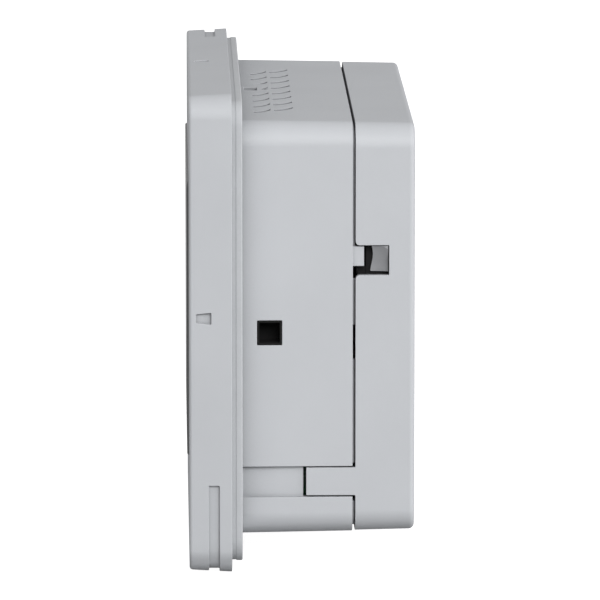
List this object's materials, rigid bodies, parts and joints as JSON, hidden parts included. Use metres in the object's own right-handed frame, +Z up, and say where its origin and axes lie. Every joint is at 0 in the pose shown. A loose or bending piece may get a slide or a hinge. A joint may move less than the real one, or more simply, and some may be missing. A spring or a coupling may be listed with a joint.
{
  "type": "hmi touch panel",
  "caption": "Flush panel-mount operator terminal: bezel with touch glass and seal, vented body with clamp sockets, latched rear module with ports.",
  "frame": {"origin": "centre of the panel cut-out, in the plane where the seal meets the panel", "axes": "+X to the right seen from the front, +Y to the rear, +Z up"},
  "size_m": [0.17, 0.0649, 0.137],
  "materials": {
    "housing_plastic": "fine moulded grain, light grey",
    "touch_glass": "dark backed glass, low gloss",
    "black_foam": "closed cell foam",
    "lcd_glass": "display cell in a thin tray",
    "white_film": "light guide and films",
    "sheet_steel": "zinc plated sheet",
    "screw_steel": "bright zinc plated",
    "clear_lens": "frosted light guide",
    "amber_ribbon": "flexible film cable",
    "seal_rubber": "light grey elastomer",
    "black_plastic": "black moulded plastic",
    "board_laminate": "green solder mask",
    "chip_black": "moulded package",
    "cast_alloy": "extruded fins",
    "can_sleeve": "sleeved cans",
    "terminal_green": "terminal block plastic",
    "cell_steel": "stamped steel cell"
  },
  "bodies": {
    "display_unit": {"front_bezel": "housing_plastic", "touch_glass": "touch_glass", "display_seal": "black_foam", "lcd_panel": "lcd_glass", "backlight_unit": "white_film", "display_frame": "sheet_steel", "frame_screws": "screw_steel", "status_lens": "clear_lens", "display_cable": "amber_ribbon", "panel_gasket": "seal_rubber", "body_shell": "housing_plastic", "case_screws": "screw_steel", "clamp_socket_left": "black_plastic", "clamp_socket_right": "black_plastic", "clamp_socket_top": "black_plastic", "clamp_socket_bottom": "black_plastic", "main_board": "board_laminate", "processor": "chip_black", "heat_sink": "cast_alloy", "board_capacitors": "can_sleeve", "buzzer": "black_plastic", "base_connector": "black_plastic", "board_screws": "screw_steel"},
    "rear_module": {"module_shell": "housing_plastic", "module_cover": "housing_plastic", "module_screws": "screw_steel", "module_board": "board_laminate", "module_board_screws": "screw_steel", "module_connector": "black_plastic", "module_chips": "chip_black", "power_socket": "terminal_green", "ethernet_socket": "sheet_steel", "usb_socket": "sheet_steel", "serial_socket": "sheet_steel", "card_socket": "sheet_steel", "card_cover_pin": "screw_steel", "cell_holder": "black_plastic", "coin_cell": "cell_steel"},
    "power_plug": {"power_plug": "terminal_green", "plug_screws": "screw_steel"},
    "card_cover": {"card_cover": "housing_plastic"},
    "latch_left": {"release_latch_left": "housing_plastic"},
    "latch_right": {"release_latch_right": "housing_plastic"}
  },
  "joints": [
    {"name": "module_slide", "type": "slide", "parent": "display_unit", "child": "rear_module", "axis": [0, 1, 0], "range_m": [0, 0.03]},
    {"name": "latch_right_press", "type": "slide", "parent": "rear_module", "child": "latch_right", "axis": [-1, 0, 0], "range_m": [0, 0.0018], "stiffness_N_per_m": 600, "springref_m": -0.001},
    {"name": "latch_left_press", "type": "slide", "parent": "rear_module", "child": "latch_left", "axis": [1, 0, 0], "range_m": [0, 0.0018], "stiffness_N_per_m": 600, "springref_m": -0.001},
    {"name": "power_plug_pull", "type": "slide", "parent": "rear_module", "child": "power_plug", "axis": [0, 0, -1], "range_m": [0, 0.012]},
    {"name": "card_cover_hinge", "type": "hinge", "parent": "rear_module", "child": "card_cover", "pos_m": [0.046, 0.0444, -0.05755], "axis": [1, 0, 0], "range_deg": [0, 100]}
  ]
}
